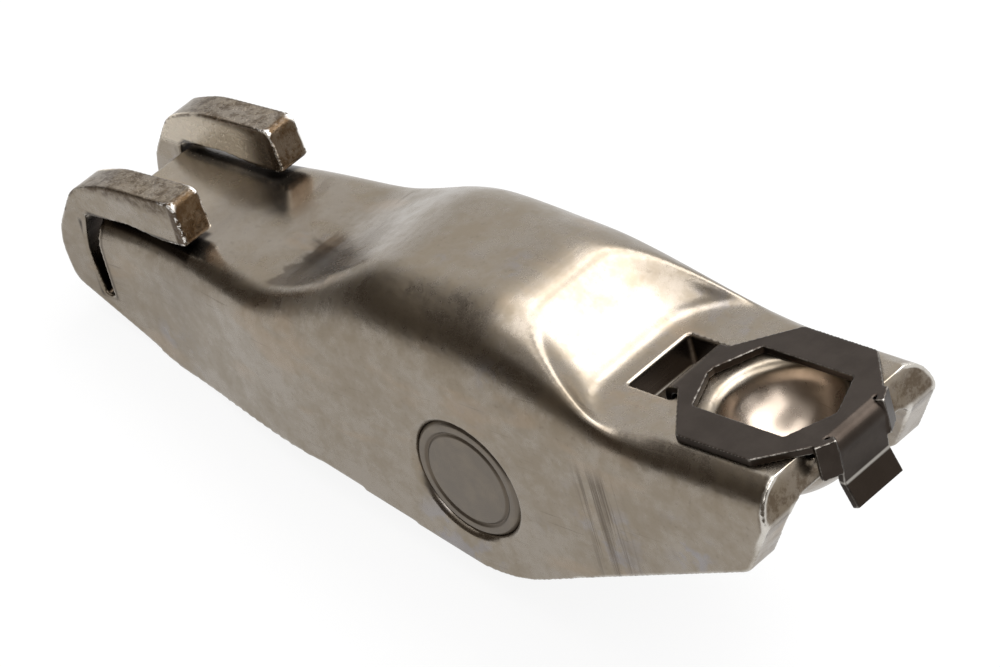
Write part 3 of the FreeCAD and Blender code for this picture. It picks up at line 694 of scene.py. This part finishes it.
class RockerStage(bpy.types.Operator):
    """Pale floor, plain soft light, white surroundings and the camera"""

    bl_idname = "rocker_arm.stage"
    bl_label = "Stage"

    def execute(self, context):
        studio = context.scene.rocker_studio
        context.scene.view_settings.view_transform = "Standard"
        self.floor(context)
        self.surroundings(context, studio)
        for name, (direction, width, depth) in LAMPS.items():
            self.lamp(context, name + "_lamp", direction, width, depth, getattr(studio, name))
        self.camera(context, studio)
        return {"FINISHED"}

    def floor(self, context):
        """Nearly white to camera, glossy and transmission rays, and pale to all others."""
        side = FLOOR_HALF
        grid = np.array([(-side, -side, 0), (side, -side, 0), (side, side, 0), (-side, side, 0)])
        mesh = bpy.data.meshes.new("floor")
        mesh.from_pydata(grid.tolist(), [], [(0, 1, 2, 3)])
        floor = bpy.data.objects.new("floor", mesh)
        context.scene.collection.objects.link(floor)
        f = Finish("pale_floor", Roughness=0.9)
        f.shader.inputs["Base Color"].default_value = tuple(context.scene.rocker_colours.floor) + (1,)
        seen = f.rays("Is Camera Ray", "Is Glossy Ray", "Is Transmission Ray")
        white = f.node("ShaderNodeEmission", {}, {"Color": (1, 1, 1, 1), "Strength": 1.0})
        f.plug(f.mixed(seen * FLOOR_WHITE, f.shader, white).outputs[0], f.output.inputs["Surface"])
        mesh.materials.append(f.material)

    def surroundings(self, context, studio):
        """White to the camera. The object has a white backdrop behind it and a dark room in
        front of it, which it shows at full strength and is lit by at the strength of fill."""
        world = bpy.data.worlds.new("surroundings")
        context.scene.world = world
        sky = Tree(world)
        where = sky.node("ShaderNodeTexCoord").outputs["Generated"]
        towards = Vector(BACKDROP).normalized()
        slope = sky.node("ShaderNodeVectorMath", {"operation": "DOT_PRODUCT"}, {0: where, 1: towards})
        backdrop = Value(sky, slope.outputs["Value"]).rise(ROOM_EDGE, WHITE_EDGE)
        view = sky.tint(backdrop, context.scene.rocker_colours.room, (1, 1, 1))
        lit = sky.node("ShaderNodeBackground", {}, {"Color": view, "Strength": studio.fill})
        shown = sky.node("ShaderNodeBackground", {}, {"Color": view, "Strength": 1.0})
        white = sky.node("ShaderNodeBackground", {}, {"Color": (1, 1, 1, 1), "Strength": 1.0})
        around = sky.mixed(sky.rays("Is Glossy Ray", "Is Transmission Ray"), lit, shown)
        seen = sky.mixed(sky.rays("Is Camera Ray"), around, white)
        sky.node("ShaderNodeOutputWorld", {}, {"Surface": seen.outputs[0]})

    def lamp(self, context, name, direction, width, depth, power):
        """Soft box that faces the axle, with its depth along the lever's Y axis."""
        data = bpy.data.lights.new(name, "AREA")
        data.shape = "RECTANGLE"
        data.size, data.size_y = width, depth
        data.energy = power
        aim = Vector(direction).normalized()
        across = Vector((0, 1, 0)).cross(aim).normalized()
        axes = Matrix((across, aim.cross(across), aim)).transposed()
        lamp = bpy.data.objects.new(name, data)
        lamp.matrix_world = Matrix.LocRotScale(
            AXLE + aim * LAMP_REACH, axes.to_quaternion(), Vector((1, 1, 1))
        )
        context.scene.collection.objects.link(lamp)

    def camera(self, context, studio):
        """Right, up and forward of the level view, turned with the lever from the camera's
        level frame to its rest on the floor."""
        turn, rise = studio.turn, studio.rise
        right = Vector((cos(turn), sin(turn), 0))
        level = Vector((-sin(turn), cos(turn), 0))
        forward = level * cos(rise) - Vector((0, 0, sin(rise)))
        up = level * sin(rise) + Vector((0, 0, cos(rise)))
        place = -right * studio.aside - up * studio.above - forward * studio.distance
        axes = Matrix((right, up, -forward)).transposed()
        settle = Matrix.Rotation(studio.pitch - context.scene.rocker_sizes.rest_tilt, 3, "Y")
        data = bpy.data.cameras.new("camera")
        data.lens = studio.lens
        data.sensor_width = 36.0
        data.clip_start = 0.01
        camera = bpy.data.objects.new("camera", data)
        camera.matrix_world = Matrix.LocRotScale(
            settle @ place + AXLE, (settle @ axes).to_quaternion(), Vector((1, 1, 1))
        )
        context.scene.collection.objects.link(camera)
        context.scene.camera = camera


class RockerPressedArm(bpy.types.Operator):
    """Pressed channel with land, ball socket and hooked lugs, its edges tumbled round"""

    bl_idname = "rocker_arm.pressed_arm"
    bl_label = "Pressed arm"

    def execute(self, context):
        sizes = context.scene.rocker_sizes
        finish = pressed_steel(context.scene.rocker_colours)
        cell, passes, share = sizes.arm_cell, sizes.arm_passes, sizes.arm_share
        tumbled("arm_body", "pressed_arm", cell, passes, share, finish, "lever", sizes.rim_passes)
        return {"FINISHED"}


class RockerClip(bpy.types.Operator):
    """Spring clip over the ball socket"""

    bl_idname = "rocker_arm.spring_clip"
    bl_label = "Spring clip"

    def execute(self, context):
        sizes = context.scene.rocker_sizes
        finish = spring_steel(context.scene.rocker_colours)
        cell, passes, share = sizes.clip_cell, sizes.clip_passes, sizes.clip_share
        tumbled("retaining_clip", "spring_clip", cell, passes, share, finish, "lever")
        return {"FINISHED"}


class RockerAxle(bpy.types.Operator):
    """Axle with bevelled ends and a staking ring in each"""

    bl_idname = "rocker_arm.axle"
    bl_label = "Axle"

    def execute(self, context):
        sizes = context.scene.rocker_sizes
        low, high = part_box("axle_pin")
        radius, end = (high[0] - low[0]) / 2, high[1]
        ring, half, deep = sizes.stake_radius, sizes.stake_width / 2, sizes.stake_depth
        edge = sizes.axle_edge
        half_profile = [(0, 0), (ring - half, 0), (ring, -deep), (ring + half, 0)]
        half_profile += [(radius - edge, 0), (radius, -edge)]
        near = [(r, -end - y) for r, y in half_profile]
        far = [(r, end + y) for r, y in reversed(half_profile)]
        bends = [0, 0.05 * MM, 0.06 * MM, 0.05 * MM, 0.1 * MM, 0.1 * MM]
        profile = rounded(near + far, bends + bends[::-1])
        points, faces = turned(profile, AXLE, AXLE_SEGMENTS, False)
        finish = axle_steel(context.scene.rocker_colours)
        new_piece("staked_axle", points, faces, finish, "lever", "axle_pin")
        return {"FINISHED"}


class RockerRoller(bpy.types.Operator):
    """Outer ring with a slightly crowned running face and rounded edges"""

    bl_idname = "rocker_arm.roller"
    bl_label = "Roller"

    def execute(self, context):
        sizes = context.scene.rocker_sizes
        low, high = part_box("roller")
        radius, half = (high[0] - low[0]) / 2, high[1]
        fall, bore, edge = sizes.roller_crown, sizes.roller_bore, sizes.roller_edge
        corners = [(bore, -half), (radius - fall, -half), (radius, 0), (radius - fall, half), (bore, half)]
        bore_edge, crown_bend = 0.3 * MM, 2 * MM
        profile = rounded(corners, [bore_edge, edge, crown_bend, edge, bore_edge], 9)
        points, faces = turned(profile, AXLE, ROLLER_SEGMENTS, True)
        finish = bearing_steel(context.scene.rocker_colours)
        new_piece("cam_roller", points, faces, finish, "roller", "roller")
        return {"FINISHED"}


class RockerNeedles(bpy.types.Operator):
    """Full ring of needles between axle and roller"""

    bl_idname = "rocker_arm.needles"
    bl_label = "Needles"

    def execute(self, context):
        sizes = context.scene.rocker_sizes
        finish = bearing_steel(context.scene.rocker_colours)
        names = sorted(name for name in frame["nodes"] if name.startswith("needle_"))
        if not names:
            raise RuntimeError("the frame has no needles")
        for name in names:
            low, high = (np.array(corner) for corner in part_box(name))
            radius, half = (high[0] - low[0]) / 2, (high[1] - low[1]) / 2
            corners = [(0, -half), (radius, -half), (radius, half), (0, half)]
            profile = rounded(corners, [0, sizes.needle_edge, sizes.needle_edge, 0])
            points, faces = turned(profile, (low + high) / 2, NEEDLE_SEGMENTS, False)
            new_piece("ground_" + name, points, faces, finish, "needle_set", name)
        return {"FINISHED"}


class RockerPanel(bpy.types.Panel):
    bl_idname = "VIEW3D_PT_rocker_arm"
    bl_label = "Rocker Arm"
    bl_space_type = "VIEW_3D"
    bl_region_type = "UI"
    bl_category = "Rocker Arm"

    def draw(self, context):
        for kind in STEPS:
            self.layout.operator(kind.bl_idname)
        for group in (context.scene.rocker_sizes, context.scene.rocker_colours, context.scene.rocker_studio):
            box = self.layout.box()
            for name in group.__annotations__:
                box.prop(group, name)


STEPS = (RockerStage, RockerPressedArm, RockerAxle, RockerRoller, RockerNeedles, RockerClip)
GROUPS = {"rocker_sizes": RockerSizes, "rocker_colours": RockerColours, "rocker_studio": RockerStudio}


def register():
    for kind in (*GROUPS.values(), *STEPS, RockerPanel):
        bpy.utils.register_class(kind)
    for name, kind in GROUPS.items():
        setattr(bpy.types.Scene, name, PointerProperty(type=kind))


def unregister():
    for name in GROUPS:
        delattr(bpy.types.Scene, name)
    for kind in reversed((*GROUPS.values(), *STEPS, RockerPanel)):
        bpy.utils.unregister_class(kind)


def main():
    register()
    bpy.ops.rocker_arm.stage()
    bpy.ops.rocker_arm.pressed_arm()
    bpy.ops.rocker_arm.axle()
    bpy.ops.rocker_arm.roller()
    bpy.ops.rocker_arm.needles()
    bpy.ops.rocker_arm.spring_clip()


if __name__ == "__main__":
    main()
